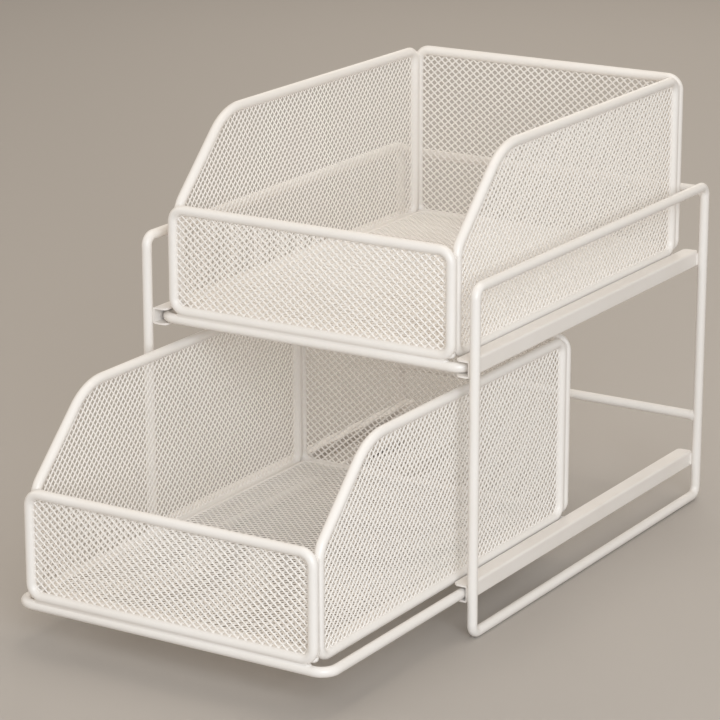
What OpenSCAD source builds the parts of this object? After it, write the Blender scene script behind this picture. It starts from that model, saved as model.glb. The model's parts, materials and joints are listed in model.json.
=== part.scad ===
// Two-tier rack for a cupboard, with two wire mesh baskets that pull out towards the front.
// Millimetres. X runs across the rack, +Y to the back and +Z up.
// The origin is on the surface that the rack stands on, below the middle of the rack.

/* [Bars] */
// Diameter of the round bar that the rack is bent from
bar_d = 8; // [6:0.5:10]
// Diameter of the round bar of the basket frames
frame_d = 8; // [6:0.5:10]
// Diameter of the round bar that carries a basket in its rails
runner_d = 8; // [6:0.5:10]

/* [Rack] */
// Width over both side hoops
rack_w = 305; // [260:1:380]
// Depth of a side hoop, over its posts
rack_d = 395; // [340:1:460]
// How far the side hoops rise above the upper rails
hoop_rise = 60.5; // [30:0.5:120]
// Centre-line radius of the bends of a side hoop
hoop_bend = 8; // [7:0.5:30]
// How far the top crossbar sits above the start of the hoops' top bends
top_crossbar_rise = 3.6; // [0:0.2:5]
// Height of the lower crossbar's centre-line above the lower rails
lower_crossbar_rise = 32; // [20:1:100]

/* [Rails] */
// How far a rail's flanges reach past the runner that they hold
rail_lip = 1.9; // [-2:0.1:3]
// Thickness of the rail's sheet
rail_t = 1.5; // [0.8:0.1:1.8]
// Outside radius of the rail's folds
rail_fold = 2; // [1.7:0.1:3]
// Radius on the free corners of a rail's flanges
rail_corner = 4; // [1:0.5:8]
// Height of the lower rails' top face above the floor
lower_rail_z = 42; // [30:0.5:80]
// Space between the top of the lower basket and the upper rails
tier_gap = 13.4; // [8:0.1:60]
// Space between a rail and its posts, which a bead of weld bridges
post_gap = 0.6; // [0.2:0.1:1]

/* [Baskets] */
// Space between a basket's side and the flanges of the rail beside it
basket_side_gap = 1.9; // [1:0.1:20]
// How far a basket's front sits behind the front posts when it is home, between centre-lines
front_setback = 3.5; // [0:0.5:40]
// Height of a basket's front, over its frame
front_h = 89; // [60:1:110]
// Height of a basket's back, over its frame
back_h = 154.5; // [120:0.5:220]
// Distance from the basket's front to the point where the slope would meet the top bar
slope_run = 78; // [60:1:140]
// Centre-line radius of the frames' square corners
frame_bend = 10; // [7:0.5:14]
// Centre-line radius of the bend from the front upright into the slope
knee_bend = 20; // [10:1:40]
// Centre-line radius of the bend from the slope into the top bar
shoulder_bend = 50; // [10:1:60]
// Centre-line radius of the runner's corners
runner_bend = 12; // [7:0.5:14]
// How far the upper basket is pulled out
upper_pull = 0; // [0:1:250]
// How far the lower basket is pulled out
lower_pull = 191; // [0:1:250]

/* [Mesh] */
// Distance from one opening of the mesh to the next, corner to corner
mesh_pitch = 26; // [24:1:34]
// Width of a mesh strand
strand_w = 3; // [2:0.2:5]
// Thickness of the mesh
mesh_t = 1.2; // [0.8:0.1:2.4]
// Width of the mesh's closed edge, which is joined to the frame bar
mesh_edge = 2.4; // [1:0.2:2.6]

/* [Fits] */
// How deep a weld joins two bars that lie side by side
weld = 0.3; // [0.1:0.1:0.6]
// Space under the runner, above the rail's lower flange
runner_lift = 0.4; // [0.3:0.1:2]
// Space over the runner, below the rail's upper flange
runner_head_gap = 2.3; // [0.5:0.1:5]
// Space between the runner and the web of the rail
runner_side_gap = 1.1; // [0.5:0.1:3]
// Space between a basket's back and the crossbars when it is home
stop_gap = 0.5; // [0.3:0.1:3]

/* [Hidden] */
$fn = 48;

// Colours of the powder coat: bars, sheet and mesh
bar_colour = [0.92, 0.89, 0.85];
rail_colour = [0.90, 0.87, 0.82];
mesh_colour = [0.94, 0.91, 0.87];

// Straight pieces that an outline has in each quarter turn
steps_per_quarter = 8;

// How far a bar's straights reach into its bends, and how much less their radius is
bend_lap = 0.2;
straight_relief = 0.005;

// Beads of weld between a rail and its posts: their diameter, and how far each lies from the
// post's centre-line, along the rail
bead_d = 2.2;
bead_shift = 1.5;

// Centre-lines of the side hoops: half their spacing and half their depth
hoop_x = (rack_w - bar_d) / 2;
hoop_y = (rack_d - bar_d) / 2;

// Rails, with room for the runner: height and width of the C, its length,
// and the outside face of its web
rail_h = rail_t + runner_lift + runner_d + runner_head_gap + rail_t;
rail_w = rail_t + runner_side_gap + runner_d + rail_lip;
rail_len = 2 * hoop_y;
web_x = hoop_x - bar_d / 2 - post_gap;

// Runner: its height from the rail's top face, and half its width between centre-lines
runner_z = -rail_t - runner_head_gap - runner_d / 2;
runner_x = web_x - rail_t - runner_side_gap - runner_d / 2;

// Basket frame centre-lines, from the rail's top face and the rack's middle
frame_x = web_x - rail_w - basket_side_gap - frame_d / 2;
front_y = -hoop_y + front_setback;
back_y = hoop_y - bar_d / 2 - stop_gap - frame_d / 2;
floor_z = runner_z + (runner_d + frame_d) / 2 - weld;
floor_mesh_z = floor_z + (frame_d + mesh_t) / 2 - weld;
front_top = front_h - frame_d;
back_top = back_h - frame_d;
// Two frame bars side by side, joined by a weld
pair_step = frame_d - weld;

// Upper rails, which clear the lower basket, and the hoops that rise past them
lower_basket_top = lower_rail_z + floor_z + back_top + frame_d / 2;
upper_rail_z = lower_basket_top + tier_gap + rail_h;
hoop_z0 = bar_d / 2;
hoop_z1 = upper_rail_z + hoop_rise - bar_d / 2;

// Angle of the way from a to b
function heading(a, b) = atan2(b.y - a.y, b.x - a.x);
// Left turn from one heading to another, from 0 to 360 degrees
function left_turn(a, b) = (b - a + 720) % 360;
function at(p, angle, r) = p + r * [cos(angle), sin(angle)];

// A loop is a list of corners, each [x, y, bend radius], in counter-clockwise order.
// These give its parts by the corner's number.
function corner(loop, i) = let (n = len(loop)) loop[(i + n) % n];
function point(loop, i) = [corner(loop, i).x, corner(loop, i).y];
function way_in(loop, i) = heading(point(loop, i - 1), point(loop, i));
function way_out(loop, i) = heading(point(loop, i), point(loop, i + 1));
function turn(loop, i) = left_turn(way_in(loop, i), way_out(loop, i));
function radius(loop, i) = corner(loop, i)[2];
// Length that the bend takes off each side of its corner
function setback(loop, i) = radius(loop, i) * tan(turn(loop, i) / 2);
function bend_start(loop, i) = at(point(loop, i), way_in(loop, i), -setback(loop, i));
function bend_end(loop, i) = at(point(loop, i), way_out(loop, i), setback(loop, i));
function bend_centre(loop, i) = at(bend_start(loop, i), way_in(loop, i) + 90, radius(loop, i));

// A rectangle as such a loop, from its lowest to its highest corner
function rectangle(low, high, bend) = [
    [low.x, low.y, bend], [high.x, low.y, bend], [high.x, high.y, bend], [low.x, high.y, bend]
];

// Points along the loop, moved inwards by inset
function outline_points(loop, inset) = [
    for (i = [0 : len(loop) - 1])
        let (steps = ceil(steps_per_quarter * turn(loop, i) / 90))
            for (s = [0 : steps])
                at(bend_centre(loop, i), way_in(loop, i) - 90 + turn(loop, i) * s / steps,
                    radius(loop, i) - inset)
];

// Round bar bent along a loop in the XY plane.
// Its straights are a hair thinner than its bends and reach a little way into them,
// so that each joint between the two is a clean one.
module bent_bar(loop, d) {
    for (i = [0 : len(loop) - 1]) {
        start = at(bend_end(loop, i), way_out(loop, i), -bend_lap);
        length = norm(bend_start(loop, i + 1) - start) + bend_lap;
        translate([start.x, start.y, 0])
            rotate([0, 90, way_out(loop, i)])
                cylinder(h = length, d = d - 2 * straight_relief);
        centre = bend_centre(loop, i);
        translate([centre.x, centre.y, 0])
            rotate([0, 0, way_in(loop, i) - 90])
                rotate_extrude(angle = turn(loop, i))
                    translate([radius(loop, i), 0])
                        circle(d = d);
    }
}

// Openings of the mesh over a field of the given size, with a crossing of strands in its middle
module mesh_openings(size) {
    half = mesh_pitch / 2;
    side = mesh_pitch / sqrt(2) - strand_w;
    columns = ceil(size.x / mesh_pitch) + 1;
    rows = ceil(size.y / mesh_pitch) + 1;
    for (i = [-columns : columns], j = [-rows : rows])
        if ((i + j) % 2 != 0)
            translate([i * half, j * half])
                rotate(45)
                    square(side, center = true);
}

// Flat mesh that fills a loop, with its closed edge along the middle of the loop's bar.
// The strands are laid out from the middle of the field.
module mesh_panel(loop, middle, size) {
    translate([0, 0, -mesh_t / 2])
        linear_extrude(mesh_t)
            difference() {
                polygon(outline_points(loop, 0));
                intersection() {
                    polygon(outline_points(loop, mesh_edge));
                    translate(middle)
                        mesh_openings(size);
                }
            }
}

// Turns a drawing whose X and Y are across and up to stand facing the front
module stand_facing_front(y) {
    translate([0, y, 0])
        rotate([90, 0, 0])
            children();
}

// Turns a drawing whose X and Y are back and up to stand along the side at x
module stand_along_side(x) {
    translate([x, 0, 0])
        rotate([90, 0, 90])
            children();
}

// Loops of the rack and of a basket
hoop_loop = rectangle([-hoop_y, hoop_z0], [hoop_y, hoop_z1], hoop_bend);
front_loop = rectangle([-frame_x, floor_z], [frame_x, floor_z + front_top], frame_bend);
back_loop = rectangle([-frame_x, floor_z], [frame_x, floor_z + back_top], frame_bend);
side_front_y = front_y + pair_step;
side_back_y = back_y - pair_step;
slope_end_y = front_y - frame_d / 2 + slope_run;
side_loop = [
    [side_front_y, floor_z, frame_bend],
    [side_back_y, floor_z, frame_bend],
    [side_back_y, floor_z + back_top, frame_bend],
    [slope_end_y, floor_z + back_top, shoulder_bend],
    [side_front_y, floor_z + front_top, knee_bend]
];
floor_loop = rectangle([-frame_x + pair_step, side_front_y],
    [frame_x - pair_step, side_back_y], frame_bend);
runner_loop = rectangle([-runner_x, front_y], [runner_x, back_y], runner_bend);

// Rack

module hoop(x)
    color(bar_colour)
        stand_along_side(x)
            bent_bar(hoop_loop, bar_d);

module crossbar(z)
    color(bar_colour)
        translate([-hoop_x, hoop_y, z])
            rotate([0, 90, 0])
                cylinder(h = 2 * hoop_x, d = bar_d);

// Section of the right-hand rail: a C that opens towards the middle, with its top at 0
module rail_section() {
    difference() {
        rail_blank(rail_w, rail_h, rail_fold);
        translate([-rail_t, -rail_t])
            rail_blank(rail_w, rail_h - 2 * rail_t, rail_fold - rail_t);
    }
}

// Block under the top face with its two web corners rounded, which the C is cut from
module rail_blank(w, h, r) {
    translate([-w, -h])
        square([w - r, h]);
    translate([-r, -h + r])
        square([r, h - 2 * r]);
    for (y = [-r, -h + r])
        translate([-r, y])
            circle(r = r);
}

// Plan of the right-hand rail, with its free corners rounded
module rail_plan() {
    translate([-rail_w, -rail_len / 2 + rail_corner])
        square([rail_w, rail_len - 2 * rail_corner]);
    translate([-rail_w + rail_corner, -rail_len / 2])
        square([rail_w - rail_corner, rail_len]);
    for (y = [-1, 1] * (rail_len / 2 - rail_corner))
        translate([-rail_w + rail_corner, y])
            circle(r = rail_corner);
}

// Bead of weld on the outside of the right-hand rail's web
module weld_bead(y)
    translate([post_gap / 2, y, -rail_h + rail_fold])
        cylinder(h = rail_h - 2 * rail_fold, d = bead_d);

module right_rail(z)
    color(rail_colour)
        translate([web_x, 0, z]) {
            intersection() {
                translate([0, rail_len / 2, 0])
                    rotate([90, 0, 0])
                        linear_extrude(rail_len)
                            rail_section();
                translate([0, 0, -rail_h])
                    linear_extrude(rail_h)
                        rail_plan();
            }
            for (end = [-1, 1])
                weld_bead(end * (rail_len / 2 - bead_shift));
        }

module left_rail(z)
    mirror([1, 0, 0])
        right_rail(z);

module left_hoop() hoop(-hoop_x);
module right_hoop() hoop(hoop_x);
module top_crossbar() crossbar(hoop_z1 - hoop_bend + top_crossbar_rise);
module lower_crossbar() crossbar(lower_rail_z + lower_crossbar_rise);
module upper_left_rail() left_rail(upper_rail_z);
module upper_right_rail() right_rail(upper_rail_z);
module lower_left_rail() left_rail(lower_rail_z);
module lower_right_rail() right_rail(lower_rail_z);

// Basket, drawn home in a rail whose top face is at 0

module frame_facing_front(loop, y)
    color(bar_colour)
        stand_facing_front(y)
            bent_bar(loop, frame_d);

module frame_along_side(x)
    color(bar_colour)
        stand_along_side(x)
            bent_bar(side_loop, frame_d);

module floor_frame()
    color(bar_colour)
        translate([0, 0, floor_z])
            bent_bar(floor_loop, frame_d);

module runner()
    color(bar_colour)
        translate([0, 0, runner_z])
            bent_bar(runner_loop, runner_d);

module mesh_facing_front(loop, y, height)
    color(mesh_colour)
        stand_facing_front(y)
            mesh_panel(loop, [0, floor_z + height / 2], [2 * frame_x, height]);

module mesh_along_side(x)
    color(mesh_colour)
        stand_along_side(x)
            mesh_panel(side_loop, [(front_y + back_y) / 2, floor_z + back_top / 2],
                [back_y - front_y, back_top]);

// The floor's mesh lies on top of its bars, and the others are held in the middle of theirs
module floor_mesh()
    color(mesh_colour)
        translate([0, 0, floor_mesh_z])
            mesh_panel(floor_loop, [0, (front_y + back_y) / 2],
                [2 * frame_x, back_y - front_y]);

// Upper basket

module in_upper_rails()
    translate([0, -upper_pull, upper_rail_z])
        children();

module upper_front_frame() in_upper_rails() frame_facing_front(front_loop, front_y);
module upper_back_frame() in_upper_rails() frame_facing_front(back_loop, back_y);
module upper_left_frame() in_upper_rails() frame_along_side(-frame_x);
module upper_right_frame() in_upper_rails() frame_along_side(frame_x);
module upper_floor_frame() in_upper_rails() floor_frame();
module upper_front_mesh() in_upper_rails() mesh_facing_front(front_loop, front_y, front_top);
module upper_back_mesh() in_upper_rails() mesh_facing_front(back_loop, back_y, back_top);
module upper_left_mesh() in_upper_rails() mesh_along_side(-frame_x);
module upper_right_mesh() in_upper_rails() mesh_along_side(frame_x);
module upper_floor_mesh() in_upper_rails() floor_mesh();
module upper_runner() in_upper_rails() runner();

// Lower basket

module in_lower_rails()
    translate([0, -lower_pull, lower_rail_z])
        children();

module lower_front_frame() in_lower_rails() frame_facing_front(front_loop, front_y);
module lower_back_frame() in_lower_rails() frame_facing_front(back_loop, back_y);
module lower_left_frame() in_lower_rails() frame_along_side(-frame_x);
module lower_right_frame() in_lower_rails() frame_along_side(frame_x);
module lower_floor_frame() in_lower_rails() floor_frame();
module lower_front_mesh() in_lower_rails() mesh_facing_front(front_loop, front_y, front_top);
module lower_back_mesh() in_lower_rails() mesh_facing_front(back_loop, back_y, back_top);
module lower_left_mesh() in_lower_rails() mesh_along_side(-frame_x);
module lower_right_mesh() in_lower_rails() mesh_along_side(frame_x);
module lower_floor_mesh() in_lower_rails() floor_mesh();
module lower_runner() in_lower_rails() runner();

left_hoop();
right_hoop();
top_crossbar();
lower_crossbar();
upper_left_rail();
upper_right_rail();
lower_left_rail();
lower_right_rail();
upper_front_frame();
upper_back_frame();
upper_left_frame();
upper_right_frame();
upper_floor_frame();
upper_front_mesh();
upper_back_mesh();
upper_left_mesh();
upper_right_mesh();
upper_floor_mesh();
upper_runner();
lower_front_frame();
lower_back_frame();
lower_left_frame();
lower_right_frame();
lower_floor_frame();
lower_front_mesh();
lower_back_mesh();
lower_left_mesh();
lower_right_mesh();
lower_floor_mesh();
lower_runner();
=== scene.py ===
# %% [markdown]
# # A two-tier rack with pull-out mesh baskets
# The real object is a rack of white powder-coated steel. Two hoops of round bar stand on edge and carry
# four folded rails, and two baskets of bar and fine diamond mesh slide in the rails. The bars, rails and
# joints come ready-made from the CAD model, which is loaded here as a fixed frame. What is left for
# Blender is what CAD keeps coarse: the fine mesh, the soft fillets where bars are welded, the finish of
# the powder coat, and the light.

# %% Load the CAD frame
import json
import math
import bpy
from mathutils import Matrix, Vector


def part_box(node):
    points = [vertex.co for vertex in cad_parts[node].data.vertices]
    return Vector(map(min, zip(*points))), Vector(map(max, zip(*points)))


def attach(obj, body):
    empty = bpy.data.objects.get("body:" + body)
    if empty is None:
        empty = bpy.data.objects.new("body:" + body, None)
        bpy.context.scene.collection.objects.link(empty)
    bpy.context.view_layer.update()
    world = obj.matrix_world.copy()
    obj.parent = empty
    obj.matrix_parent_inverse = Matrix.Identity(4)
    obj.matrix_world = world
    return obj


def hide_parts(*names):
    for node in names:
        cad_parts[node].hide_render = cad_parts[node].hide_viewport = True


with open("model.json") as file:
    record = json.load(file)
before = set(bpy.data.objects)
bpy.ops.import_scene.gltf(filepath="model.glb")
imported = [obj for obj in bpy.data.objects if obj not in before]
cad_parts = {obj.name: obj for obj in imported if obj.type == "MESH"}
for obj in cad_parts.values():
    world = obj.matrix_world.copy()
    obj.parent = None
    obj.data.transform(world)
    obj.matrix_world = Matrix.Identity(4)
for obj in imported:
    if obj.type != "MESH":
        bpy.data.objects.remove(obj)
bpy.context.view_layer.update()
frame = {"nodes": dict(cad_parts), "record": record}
nodes = frame["nodes"]

# %% [markdown]
# Sizes are read from the frame, so that every new piece fits it. A bar's thickness is the height of a
# crossbar. A basket's frame lines are the middles of its bars. The length of the slope and the bends of
# the bars can't be read from a box, so they repeat the CAD model's values.

# %% Sizes from the frame
MM = 0.001
TIERS = ("upper", "lower")

low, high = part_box("top_crossbar")
bar = high.z - low.z
slope_run = 78 * MM
frame_bend = 10 * MM
knee_bend = 20 * MM
shoulder_bend = 50 * MM


def middle_lines(node):
    """Lowest and highest corner of the bar's middle line in a CAD node."""
    low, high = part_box(node)
    half = Vector((bar / 2, bar / 2, bar / 2))
    return low + half, high - half


front_low, front_high = middle_lines("upper_front_frame")
back_low, back_high = middle_lines("upper_back_frame")
floor_low, floor_high = middle_lines("upper_floor_frame")
print("bar", round(bar / MM, 2), "mm, basket front", round((front_high.x - front_low.x) / MM, 1), "mm wide")

# %% [markdown]
# ## Camera
# The rack is seen from its right front corner and from a little above. A long lens keeps the posts nearly
# parallel, as in product photographs. The eye's place is given in metres in the frame's own axes.

# %% Camera
eye = (1.2228, -2.0892, 0.8681)
azimuth = math.radians(31.78)
downward = math.radians(16.54)
bpy.ops.object.camera_add(location=eye, rotation=(math.pi / 2 - downward, 0, azimuth))
camera = bpy.context.object
camera.data.sensor_width = 36
camera.data.lens = 153.5
bpy.context.scene.camera = camera
print("camera", [round(value, 3) for value in camera.location], "lens", camera.data.lens, "mm")

# %% [markdown]
# ## Powder coat
# The steel is not painted: dry powder is sprayed on and baked, which gives a thick satin skin with
# rounded edges and a very fine orange peel. One function makes the coat for every slot, with its own
# colour, roughness and grain, so that bars, sheet and mesh differ a little as they do on the real thing.
# All patterns read Object coordinates, which are the frame's metres.

# %% Powder coat material
drift_per_metre = 22
patches_per_metre = 90
patch_change = 0.04


def link(material, from_socket, to_socket):
    """Joins two sockets of a material's nodes."""
    material.node_tree.links.new(from_socket, to_socket)


def noise(material, scale, detail=2.0):
    """Noise on Object coordinates, with scale in features per metre."""
    tree = material.node_tree
    place = tree.nodes.new("ShaderNodeTexCoord")
    texture = tree.nodes.new("ShaderNodeTexNoise")
    texture.inputs["Scale"].default_value = scale
    texture.inputs["Detail"].default_value = detail
    link(material, place.outputs["Object"], texture.inputs["Vector"])
    return texture.outputs["Fac"]


def spread(material, value, low, high):
    """Noise mapped to a range. Most noise lies between 0.3 and 0.7."""
    ranged = material.node_tree.nodes.new("ShaderNodeMapRange")
    ranged.inputs["From Min"].default_value = 0.3
    ranged.inputs["From Max"].default_value = 0.7
    ranged.inputs["To Min"].default_value = low
    ranged.inputs["To Max"].default_value = high
    link(material, value, ranged.inputs["Value"])
    return ranged.outputs["Result"]


def blend_colours(material, amount, first, second):
    """The first colour where amount is 0 and the second where it is 1."""
    mix = material.node_tree.nodes.new("ShaderNodeMix")
    mix.data_type = "RGBA"
    mix.inputs["A"].default_value = (*first, 1)
    mix.inputs["B"].default_value = (*second, 1)
    link(material, amount, mix.inputs["Factor"])
    return mix.outputs["Result"]


def powder_coat(name, light, shade, roughness, peel_mm, peel_depth_mm):
    """A satin coat whose colour drifts between two warm whites, with a fine orange peel."""
    material = bpy.data.materials.new(name)
    material.use_nodes = True
    shader = material.node_tree.nodes["Principled BSDF"]
    shader.inputs["Specular IOR Level"].default_value = 0.5
    drift = spread(material, noise(material, drift_per_metre), 0, 1)
    link(material, blend_colours(material, drift, light, shade), shader.inputs["Base Color"])
    patches = spread(material, noise(material, patches_per_metre),
                     roughness - patch_change, roughness + patch_change)
    link(material, patches, shader.inputs["Roughness"])
    peel = material.node_tree.nodes.new("ShaderNodeBump")
    peel.inputs["Strength"].default_value = 0.6
    peel.inputs["Distance"].default_value = peel_depth_mm * MM
    link(material, noise(material, 1000 / peel_mm), peel.inputs["Height"])
    link(material, peel.outputs["Normal"], shader.inputs["Normal"])
    return material


warm_white = (0.850, 0.812, 0.770)
warm_white_shade = (0.835, 0.791, 0.743)
sheet_white = (0.84, 0.797, 0.752)
sheet_white_shade = (0.82, 0.771, 0.720)
mesh_white = (0.90, 0.860, 0.812)
mesh_white_shade = (0.885, 0.840, 0.788)
coats = {
    "rack_bar": powder_coat("rack_bar_coat", warm_white, warm_white_shade, 0.36, 1.4, 0.03),
    "rail_sheet": powder_coat("rail_sheet_coat", sheet_white, sheet_white_shade, 0.42, 1.2, 0.03),
    "basket_bar": powder_coat("basket_bar_coat", warm_white, warm_white_shade, 0.36, 1.4, 0.03),
    "basket_mesh": powder_coat("basket_mesh_coat", mesh_white, mesh_white_shade, 0.45, 0.9, 0.02),
    "runner_bar": powder_coat("runner_bar_coat", warm_white, warm_white_shade, 0.34, 1.4, 0.03),
}
print("coats:", ", ".join(coats))

# %% [markdown]
# Each CAD node takes the coat of its slot in the record. Its mesh stays as it is.

# %% Coat the CAD nodes


def give_coat(piece, coat):
    """Makes a slot's coat the only material of a piece."""
    piece.data.materials.clear()
    piece.data.materials.append(coats[coat])


slot_of = {row["node"]: row["material_slot"] for row in frame["record"]["subparts"]}
for name, node in nodes.items():
    give_coat(node, slot_of[name])
print("coated", len(nodes), "nodes")

# %% [markdown]
# ## Fine diamond mesh
# The baskets' walls and floors are of thin steel strands that cross at a slant and leave diamond openings
# about 6 mm wide. CAD has the same panels with openings four times as wide. Here one opening is modelled
# with the half strands round it, two of them make a tile, and the tile is repeated by two Array
# modifiers. A strand is a ridge on each side, smooth shaded, which is enough at this size and keeps an
# opening to 16 faces.

# %% Helpers for edit mode
smooth_angle = math.radians(60)


def deselect():
    """Leaves edit mode and selects nothing."""
    if bpy.context.object and bpy.context.object.mode != "OBJECT":
        bpy.ops.object.mode_set(mode="OBJECT")
    bpy.ops.object.select_all(action="DESELECT")


def select_points(piece, test):
    """Goes to edit mode with only those vertices selected whose place passes the test."""
    bpy.ops.object.mode_set(mode="EDIT")
    bpy.ops.mesh.select_mode(type="VERT")
    bpy.ops.mesh.select_all(action="DESELECT")
    bpy.ops.object.mode_set(mode="OBJECT")
    for vertex in piece.data.vertices:
        vertex.select = test(vertex.co)
    bpy.ops.object.mode_set(mode="EDIT")


def resize(across, up, out):
    """Scales what is selected about the origin."""
    bpy.ops.transform.resize(value=(across, up, out), center_override=(0, 0, 0))


def move(across, up, out):
    """Moves what is selected."""
    bpy.ops.transform.translate(value=(across, up, out))


def apply_modifier(piece, kind, **settings):
    """Adds a modifier to the active piece and applies it at once."""
    modifier = piece.modifiers.new(kind, kind)
    for key, value in settings.items():
        setattr(modifier, key, value)
    bpy.ops.object.modifier_apply(modifier=modifier.name)


# %% One tile of mesh
strand_width = 1.3 * MM
strand_thickness = 1.2 * MM
rounded_corner = 0.94
same_point = 0.001 * MM


def mesh_tile(name, pitch):
    """Two openings of the mesh with half a strand round each, flat on XY and centred on one opening."""

    def on_axis(co):
        return min(abs(co.x), abs(co.y)) < same_point

    deselect()
    bpy.ops.mesh.primitive_circle_add(vertices=8, radius=1, fill_type="NGON")
    tile = bpy.context.object
    tile.name = name
    select_points(tile, lambda co: not on_axis(co))
    resize(math.sqrt(0.5), math.sqrt(0.5), 1)
    bpy.ops.mesh.select_all(action="SELECT")
    resize(pitch[0] / 2, pitch[1] / 2, 1)
    move(0, 0, strand_thickness / 2)
    bpy.ops.mesh.select_mode(type="FACE")
    bpy.ops.mesh.inset(thickness=strand_width / 2, depth=-strand_thickness / 2)
    bpy.ops.mesh.delete(type="ONLY_FACE")
    select_points(tile, lambda co: abs(co.z) < same_point and on_axis(co))
    resize(rounded_corner, rounded_corner, 1)
    bpy.ops.mesh.select_all(action="SELECT")
    bpy.ops.mesh.duplicate()
    resize(1, 1, -1)
    bpy.ops.mesh.flip_normals()
    bpy.ops.mesh.select_all(action="SELECT")
    bpy.ops.mesh.duplicate()
    move(pitch[0] / 2, pitch[1] / 2, 0)
    bpy.ops.mesh.select_all(action="SELECT")
    bpy.ops.mesh.remove_doubles(threshold=same_point)
    bpy.ops.object.mode_set(mode="OBJECT")
    return tile


def repeat(tile, pitch, size):
    """Repeats the tile over a field a little larger than that size, with a tile in its middle."""
    shift = [0, 0, 0]
    for axis in (0, 1):
        tiles = math.ceil(size[axis] / pitch[axis]) + 2
        step = [0, 0, 0]
        step[axis] = pitch[axis]
        apply_modifier(tile, "ARRAY", use_relative_offset=False, use_constant_offset=True,
                       constant_offset_displace=step, count=tiles,
                       use_merge_vertices=True, merge_threshold=same_point)
        shift[axis] = size[axis] / 2 - (tiles // 2) * pitch[axis]
    bpy.ops.object.mode_set(mode="EDIT")
    bpy.ops.mesh.select_all(action="SELECT")
    move(*shift)
    bpy.ops.object.mode_set(mode="OBJECT")


# %% [markdown]
# A panel ends in the middle of its frame bar. Its outline is convex, so it can be cut from the field by
# straight cuts: one along each side and a few round each bend of the bar. The same cuts shape a narrow
# closed strip, to which the strands are joined. The strands end inside the strip and not at its outer
# face, because two faces in one place render as black specks.

# %% Cut a panel to its outline
cuts_per_bend = 3
edge_strip = 2.4 * MM
strip_rounding = 0.3 * MM


def outline_cuts(corners):
    """Points and outward directions of the cuts round a convex outline of (x, y, bend) corners."""
    cuts = []
    count = len(corners)
    for i in range(count):
        before, here, after = (Vector(corners[k % count][:2]) for k in (i - 1, i, i + 1))
        bend = corners[i][2]
        way_in = (here - before).normalized()
        way_out = (after - here).normalized()
        side_angle = math.atan2(-way_in.x, way_in.y)
        turn = way_in.angle(way_out)
        inward = (way_out - way_in).normalized()
        centre = here + inward * (bend / math.cos(turn / 2))
        cuts.append((before, Vector((way_in.y, -way_in.x))))
        for step in range(1, cuts_per_bend + 1):
            angle = side_angle + turn * step / (cuts_per_bend + 1)
            outward = Vector((math.cos(angle), math.sin(angle)))
            cuts.append((centre + outward * bend, outward))
    return cuts


def cut_out(piece, cuts, fill):
    """Cuts away all that lies outside the cuts, and closes the cut ends if fill is true."""
    bpy.context.view_layer.objects.active = piece
    bpy.ops.object.mode_set(mode="EDIT")
    for point, outward in cuts:
        bpy.ops.mesh.select_all(action="SELECT")
        bpy.ops.mesh.bisect(plane_co=(*point, 0), plane_no=(*outward, 0), clear_outer=True, use_fill=fill,
                            threshold=same_point / 10)
    if fill:
        # A strand end where two cuts meet can stay open.
        bpy.ops.mesh.select_all(action="SELECT")
        bpy.ops.mesh.fill_holes(sides=0)
    bpy.ops.object.mode_set(mode="OBJECT")


def edge_of(name, cuts, size):
    """The closed strip round a panel, as thick as the strands."""
    deselect()
    bpy.ops.mesh.primitive_plane_add(size=2 * max(size), location=(size[0] / 2, size[1] / 2, 0))
    strip = bpy.context.object
    strip.name = name
    bpy.ops.object.transform_apply(location=True, rotation=True, scale=True)
    cut_out(strip, cuts, False)
    bpy.ops.object.mode_set(mode="EDIT")
    bpy.ops.mesh.select_all(action="SELECT")
    bpy.ops.mesh.select_mode(type="FACE")
    bpy.ops.mesh.inset(thickness=edge_strip, depth=0)
    bpy.ops.mesh.delete(type="FACE")
    bpy.ops.object.mode_set(mode="OBJECT")
    apply_modifier(strip, "SOLIDIFY", thickness=strand_thickness, offset=0)
    apply_modifier(strip, "BEVEL", width=strip_rounding, segments=2, limit_method="ANGLE")
    return strip


def mesh_panel(name, corners, pitch):
    """A flat panel of mesh with its edge strip, drawn on XY from the outline's lowest corner."""
    size = [max(corner[axis] for corner in corners) for axis in (0, 1)]
    cuts = outline_cuts(corners)
    strand_cuts = [(point - outward * (edge_strip / 2), outward) for point, outward in cuts]
    panel = mesh_tile(name, pitch)
    repeat(panel, pitch, size)
    cut_out(panel, strand_cuts, True)
    strip = edge_of(name + "_edge", cuts, size)
    deselect()
    strip.select_set(True)
    panel.select_set(True)
    bpy.context.view_layer.objects.active = panel
    bpy.ops.object.join()
    bpy.ops.object.shade_smooth_by_angle(angle=smooth_angle)
    print(name, len(panel.data.polygons), "faces, pitch", [round(p / MM, 2) for p in pitch], "mm")
    return panel


# %% [markdown]
# The four kinds of panel are drawn once, flat. The openings are a little wider than high on the front and
# back, and a little higher than wide on the sides.

# %% Draw the panels
width = front_high.x - front_low.x
front_height = front_high.z - front_low.z
back_height = back_high.z - back_low.z
floor_width = floor_high.x - floor_low.x
depth = floor_high.y - floor_low.y
slope_end = front_low.y - bar / 2 + slope_run - floor_low.y
wall_pitch = (7.09 * MM, 6.03 * MM)
side_pitch = (6.06 * MM, 6.67 * MM)
floor_pitch = (6.67 * MM, 6.0 * MM)


def rectangle(across, up):
    """The outline of a four-sided panel."""
    return [(0, 0, frame_bend), (across, 0, frame_bend), (across, up, frame_bend), (0, up, frame_bend)]


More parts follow.
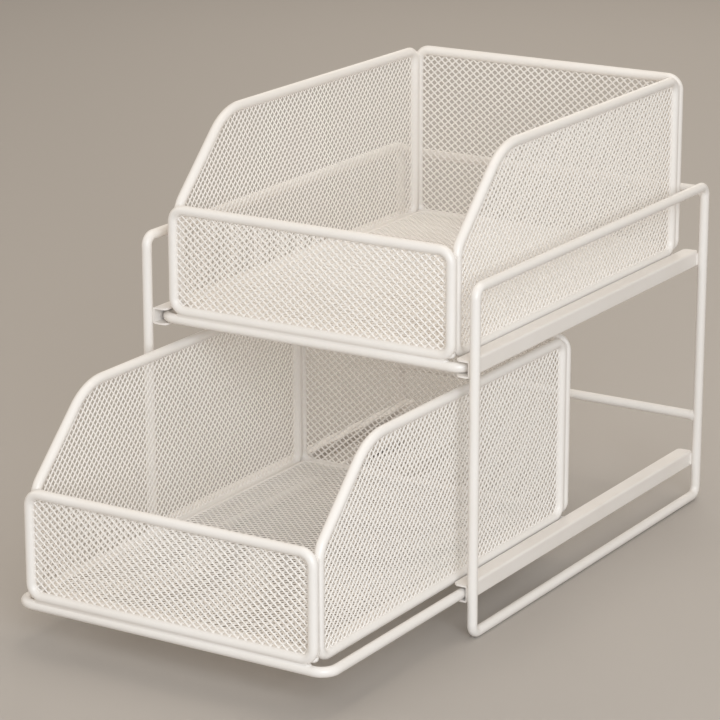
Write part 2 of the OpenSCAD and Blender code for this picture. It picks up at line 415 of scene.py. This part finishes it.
side_corners = [
    (0, 0, frame_bend),
    (depth, 0, frame_bend),
    (depth, back_height, frame_bend),
    (slope_end, back_height, shoulder_bend),
    (0, front_height, knee_bend),
]
drawn = {
    "front": mesh_panel("front_drawing", rectangle(width, front_height), wall_pitch),
    "back": mesh_panel("back_drawing", rectangle(width, back_height), wall_pitch),
    "side": mesh_panel("side_drawing", side_corners, side_pitch),
    "floor": mesh_panel("floor_drawing", rectangle(floor_width, depth), floor_pitch),
}

# %% [markdown]
# Each panel is then copied to its places: stood up in the middle of the bars on the four sides, and laid
# on top of the bars on the floor. A copy has its own mesh and replaces the coarse CAD panel.

# %% Put the panels in the baskets
facing_front = (math.pi / 2, 0, 0)
facing_side = (math.pi / 2, 0, math.pi / 2)
lying = (0, 0, 0)


def put_panel(kind, node, turn, corner):
    """Copies a drawing, turns it, puts its lowest corner in place and lets it replace a CAD node."""
    panel = drawn[kind].copy()
    panel.data = drawn[kind].data.copy()
    bpy.context.scene.collection.objects.link(panel)
    panel.name = node + "_fine"
    panel.rotation_euler = turn
    panel.location = corner
    deselect()
    panel.select_set(True)
    bpy.context.view_layer.objects.active = panel
    bpy.ops.object.transform_apply(location=True, rotation=True, scale=True)
    give_coat(panel, "basket_mesh")
    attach(panel, node.split("_")[0] + "_basket")
    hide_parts(node)


for tier in TIERS:
    for wall in ("front", "back"):
        low, _ = middle_lines(f"{tier}_{wall}_frame")
        put_panel(wall, f"{tier}_{wall}_mesh", facing_front, low)
    for wall in ("left", "right"):
        low, _ = middle_lines(f"{tier}_{wall}_frame")
        put_panel("side", f"{tier}_{wall}_mesh", facing_side, low)
    low, _ = middle_lines(f"{tier}_floor_frame")
    mesh_low, mesh_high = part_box(f"{tier}_floor_mesh")
    low.z = (mesh_low.z + mesh_high.z) / 2
    put_panel("floor", f"{tier}_floor_mesh", lying, low)
for drawing in drawn.values():
    bpy.data.objects.remove(drawing)

# %% [markdown]
# ## Filled grooves
# Where two bars lie side by side, they are welded, and powder gathers in the narrow groove between them,
# so that it never shows as a sharp dark line. A slim strip along the line where the bars touch fills the
# grooves on both sides of it. It starts as a box. Cuts along its length let its middle be drawn in, as a
# coat sinks in when it sets, and a cut near each end lets the tips taper where the bars bend away from
# each other. A strip runs 5 mm into each bend, so that it closes the sharp end of the notch there.

# %% Fill the grooves between bars
ACROSS, DEEP, UP = 0, 1, 2
fill_thickness = 3.2 * MM
fill_width = 6.2 * MM
fill_waist = 5.4 * MM
fill_tip = 3.5 * MM
tip_scale = 0.15
fill_end = frame_bend - 5 * MM


def cut_across(axis, place):
    """Adds a ring of edges to the piece in edit mode, square to an axis."""
    spot = [0, 0, 0]
    way = [0, 0, 0]
    spot[axis] = place
    way[axis] = 1
    bpy.ops.mesh.select_all(action="SELECT")
    bpy.ops.mesh.bisect(plane_co=spot, plane_no=way)


def resize_along(axes, factor):
    """Scales what is selected along some axes only."""
    factors = [factor if axis in axes else 1 for axis in range(3)]
    resize(*factors)


def fill_groove(name, body, start, end, pair_axis):
    """A strip from start to end between two bars whose middle lines are apart along pair_axis."""
    deselect()
    span = end - start
    along = max(range(3), key=lambda axis: abs(span[axis]))
    wide = 3 - along - pair_axis
    size = [0, 0, 0]
    size[along] = span.length + 2 * fill_tip
    size[pair_axis] = fill_thickness
    size[wide] = fill_width
    bpy.ops.mesh.primitive_cube_add(size=1)
    strip = bpy.context.object
    strip.name = name
    strip.scale = size
    bpy.ops.object.transform_apply(location=True, rotation=True, scale=True)
    bpy.ops.object.mode_set(mode="EDIT")
    for share in (-0.25, 0, 0.25):
        cut_across(pair_axis, share * fill_thickness)
    for side in (-0.5, 0.5):
        cut_across(along, side * span.length)
    bpy.ops.object.mode_set(mode="OBJECT")
    select_points(strip, lambda co: abs(co[pair_axis]) < same_point)
    resize_along([wide], fill_waist / fill_width)
    # The cuts beside the waist take three parts of the waist's width and one part of the full width.
    select_points(strip, lambda co: same_point < abs(co[pair_axis]) < fill_thickness / 3)
    resize_along([wide], (3 * fill_waist + fill_width) / (4 * fill_width))
    select_points(strip, lambda co: abs(co[along]) > span.length / 2 + same_point)
    resize_along([wide, pair_axis], tip_scale)
    bpy.ops.object.mode_set(mode="OBJECT")
    bpy.ops.object.shade_smooth_by_angle(angle=smooth_angle)
    strip.location = (start + end) / 2
    bpy.ops.object.transform_apply(location=True, rotation=True, scale=True)
    give_coat(strip, "basket_bar")
    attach(strip, body)


# %% Grooves of one basket


def fill_basket(tier):
    """Fills the grooves at the uprights, along the floor frame and along the runner of one basket."""
    body = tier + "_basket"
    floor_low, floor_high = middle_lines(tier + "_floor_frame")
    runner_low, _ = middle_lines(tier + "_runner")
    floor_ends = {"front": floor_low.y, "back": floor_high.y}
    for end_wall in ("front", "back"):
        low, high = middle_lines(f"{tier}_{end_wall}_frame")
        y = (low.y + floor_ends[end_wall]) / 2
        for side, x in (("left", low.x), ("right", high.x)):
            fill_groove(f"{tier}_{end_wall}_{side}_upright_fill", body,
                        Vector((x, y, low.z + fill_end)), Vector((x, y, high.z - fill_end)), DEEP)
        fill_groove(f"{tier}_{end_wall}_floor_fill", body,
                    Vector((floor_low.x + fill_end, y, low.z)),
                    Vector((floor_high.x - fill_end, y, low.z)), DEEP)
        z = (low.z + runner_low.z) / 2
        fill_groove(f"{tier}_{end_wall}_runner_fill", body,
                    Vector((low.x + fill_end, low.y, z)), Vector((high.x - fill_end, low.y, z)), UP)
    # Both end walls are equally wide and equally low, so the last one's lines serve the sides too.
    for side, x in (("left", (low.x + floor_low.x) / 2), ("right", (high.x + floor_high.x) / 2)):
        fill_groove(f"{tier}_{side}_floor_fill", body,
                    Vector((x, floor_low.y + fill_end, low.z)),
                    Vector((x, floor_high.y - fill_end, low.z)), ACROSS)


for tier in TIERS:
    fill_basket(tier)

# %% [markdown]
# ## Welds
# The bars are held by welds that the coat has softened. Where the bars of a basket's bottom corner bend
# away from each other, a small knob of weld sits in the gap and ties them together. It is a ball, drawn
# in at the top and flattened below, as molten metal sets.

# %% Welds in the bottom corners of the baskets
corner_weld = Vector((8.4, 7.6, 7.4)) * MM
weld_inset = Vector((3.2, 4.8, -0.2)) * MM
flat_below = 0.85
narrow_above = 0.8
narrow_from = 0.25


def soft_weld(name, body, coat, place, size):
    """A ball of weld, flattened below its middle and drawn in near its top."""
    deselect()
    bpy.ops.mesh.primitive_uv_sphere_add(segments=20, ring_count=12, radius=0.5)
    weld = bpy.context.object
    weld.name = name
    weld.scale = size
    bpy.ops.object.transform_apply(location=True, rotation=True, scale=True)
    select_points(weld, lambda co: co.z < -same_point)
    resize(1, 1, flat_below)
    select_points(weld, lambda co: co.z > size[UP] * narrow_from)
    resize(narrow_above, narrow_above, 1)
    bpy.ops.object.mode_set(mode="OBJECT")
    bpy.ops.object.shade_smooth()
    weld.location = place
    bpy.ops.object.transform_apply(location=True, rotation=True, scale=True)
    give_coat(weld, coat)
    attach(weld, body)


for tier in TIERS:
    for wall, inward in (("front", 1), ("back", -1)):
        low, high = middle_lines(f"{tier}_{wall}_frame")
        y = low.y + inward * weld_inset.y
        for side, x in (("left", low.x + weld_inset.x), ("right", high.x - weld_inset.x)):
            soft_weld(f"{tier}_{wall}_{side}_corner_weld", tier + "_basket", "basket_bar",
                      Vector((x, y, low.z + weld_inset.z)), corner_weld)

# %% [markdown]
# A crossbar meets its posts squarely, and a collar of weld leads from one to the other. It starts as a
# short open tube round the bar's end. Rings of edges are added by extrusion towards the post, and each is
# made taller and narrower than the last, so that the collar flares up and down the post and stays within
# its thickness.

# %% Collars at the ends of the crossbars
collar_start = 8.5 * MM
collar_sunk = 0.1 * MM
collar_rings = (
    # distance from the post's middle, half width along the rack, half height
    (6.6, 3.98, 4.15),
    (5.2, 3.98, 4.6),
    (4.0, 3.98, 5.4),
    (2.6, 3.5, 6.2),
    (1.2, 2.9, 6.6),
)


def crossbar_collar(name, post, crossbar_middle, side):
    """A flared collar round a crossbar's end, side is 1 at the right post and -1 at the left."""
    deselect()
    radius = bar / 2 - collar_sunk
    bpy.ops.mesh.primitive_circle_add(vertices=24, radius=radius, fill_type="NGON")
    collar = bpy.context.object
    collar.name = name
    bpy.ops.object.mode_set(mode="EDIT")
    reached, wide, tall = collar_start, radius, radius
    for ring in collar_rings:
        distance, half_width, half_height = (value * MM for value in ring)
        bpy.ops.mesh.extrude_region_move(TRANSFORM_OT_translate={"value": (0, 0, reached - distance)})
        resize(half_height / tall, half_width / wide, 1)
        reached, wide, tall = distance, half_width, half_height
    bpy.ops.mesh.select_all(action="SELECT")
    bpy.ops.mesh.normals_make_consistent(inside=False)
    bpy.ops.object.mode_set(mode="OBJECT")
    bpy.ops.object.shade_smooth_by_angle(angle=smooth_angle)
    collar.rotation_euler = (0, side * math.pi / 2, 0)
    collar.location = (side * (post - collar_start), crossbar_middle.y, crossbar_middle.z)
    bpy.ops.object.transform_apply(location=True, rotation=True, scale=True)
    give_coat(collar, "rack_bar")
    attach(collar, "rack")
    return collar


post_low, _ = middle_lines("right_hoop")
for name in ("top_crossbar", "lower_crossbar"):
    low, _ = middle_lines(name)
    for side, side_name in ((-1, "left"), (1, "right")):
        collar = crossbar_collar(f"{name}_{side_name}_collar", post_low.x, low, side)
print("a collar has", len(collar.data.polygons), "faces")

# %% [markdown]
# ## Floor and light
# A plain pale floor runs far past the picture. Four big soft boxes and an even sky light the rack: a
# cool one by the camera's right shoulder, which draws the pale line along the bars, and warm ones from
# the left, from above and from behind. A wide box gives soft edges to the shadows.

# %% Floor
floor_size = 40
floor_colour = (0.45, 0.415, 0.38, 1)
deselect()
bpy.ops.mesh.primitive_plane_add(size=floor_size, location=(0, 0, 0))
floor = bpy.context.object
floor.name = "studio_floor"
floor_paint = bpy.data.materials.new("studio_floor_paint")
floor_paint.use_nodes = True
floor_shader = floor_paint.node_tree.nodes["Principled BSDF"]
floor_shader.inputs["Base Color"].default_value = floor_colour
floor_shader.inputs["Roughness"].default_value = 0.6
floor.data.materials.append(floor_paint)

# %% Soft boxes and sky
rack_middle = Vector((0, -0.08, 0.2))
sky_colour = (1.0, 0.93, 0.845, 1)


def soft_box(name, place, size, power, colour):
    """A square area light that faces the middle of the rack, size in metres and power in watts."""
    way = rack_middle - Vector(place)
    bpy.ops.object.light_add(type="AREA", location=place, rotation=way.to_track_quat("-Z", "Y").to_euler())
    lamp = bpy.context.object
    lamp.name = name
    lamp.data.size = size
    lamp.data.energy = power
    lamp.data.color = colour


soft_box("key_box", (1.85, -2.09, 1.19), 1.6, 57, (0.87, 0.935, 1.0))
soft_box("left_box", (-2.2, -1.2, 1.3), 1.4, 12, (1.0, 0.93, 0.84))
soft_box("top_box", (0.2, 0.3, 2.6), 1.6, 16, (1.0, 0.91, 0.80))
soft_box("back_box", (-1.0, 2.4, 1.4), 1.6, 10, (1.0, 0.94, 0.86))

world = bpy.data.worlds.new("studio_sky")
bpy.context.scene.world = world
world.use_nodes = True
sky = world.node_tree.nodes["Background"]
sky.inputs["Color"].default_value = sky_colour
sky.inputs["Strength"].default_value = 0.45

# %% [markdown]
# ## Finish
# The view transform is Standard, so that a colour shows as it is written.

# %% Finish
bpy.context.scene.view_settings.view_transform = "Standard"
